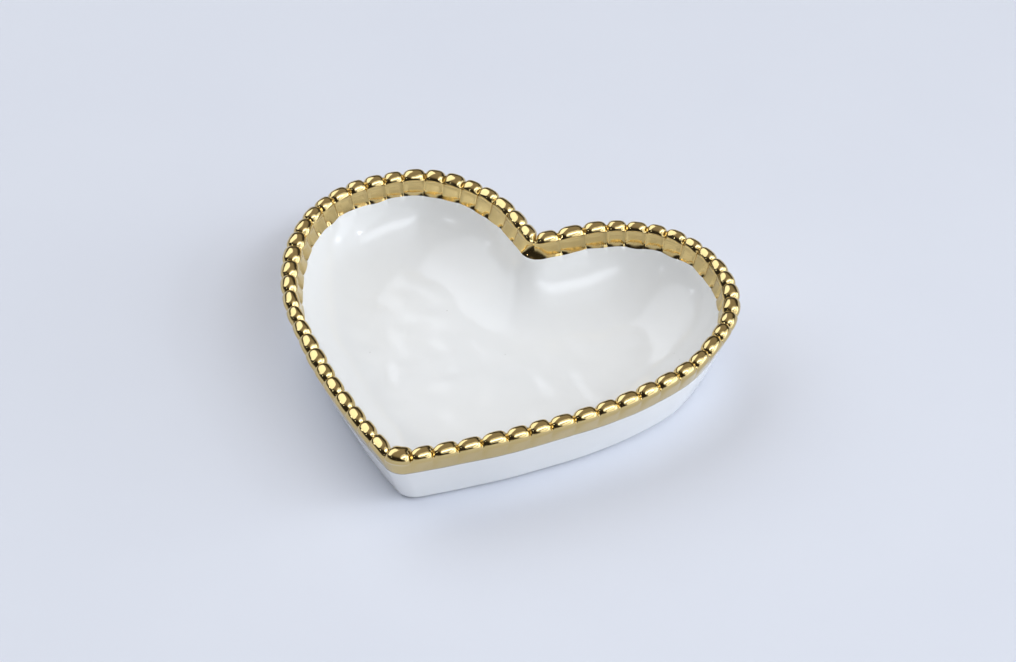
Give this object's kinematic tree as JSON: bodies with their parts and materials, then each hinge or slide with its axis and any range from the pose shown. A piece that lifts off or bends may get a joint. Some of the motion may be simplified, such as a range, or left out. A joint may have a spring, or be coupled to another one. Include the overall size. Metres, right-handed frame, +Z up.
{
  "type": "heart-shaped trinket dish",
  "caption": "Open heart-shaped porcelain dish for rings and trinkets, with flared walls, a coved floor and a gilded, beaded rim. Stands on a low bare foot ring.",
  "frame": {"origin": "bottom centre of the dish's bounding box, on the surface it stands on", "axes": "+X across the heart, to the right lobe; +Y from the tip to the cleft; +Z up. X = 0 is the mirror plane"},
  "size_m": [0.14, 0.13, 0.0254],
  "materials": {
    "white_glaze": "gloss",
    "gold_lustre": "polished",
    "bare_porcelain": "matte"
  },
  "bodies": {
    "root": {"dish_body": "white_glaze", "beaded_rim": "gold_lustre", "foot_ring": "bare_porcelain"}
  },
  "joints": []
}
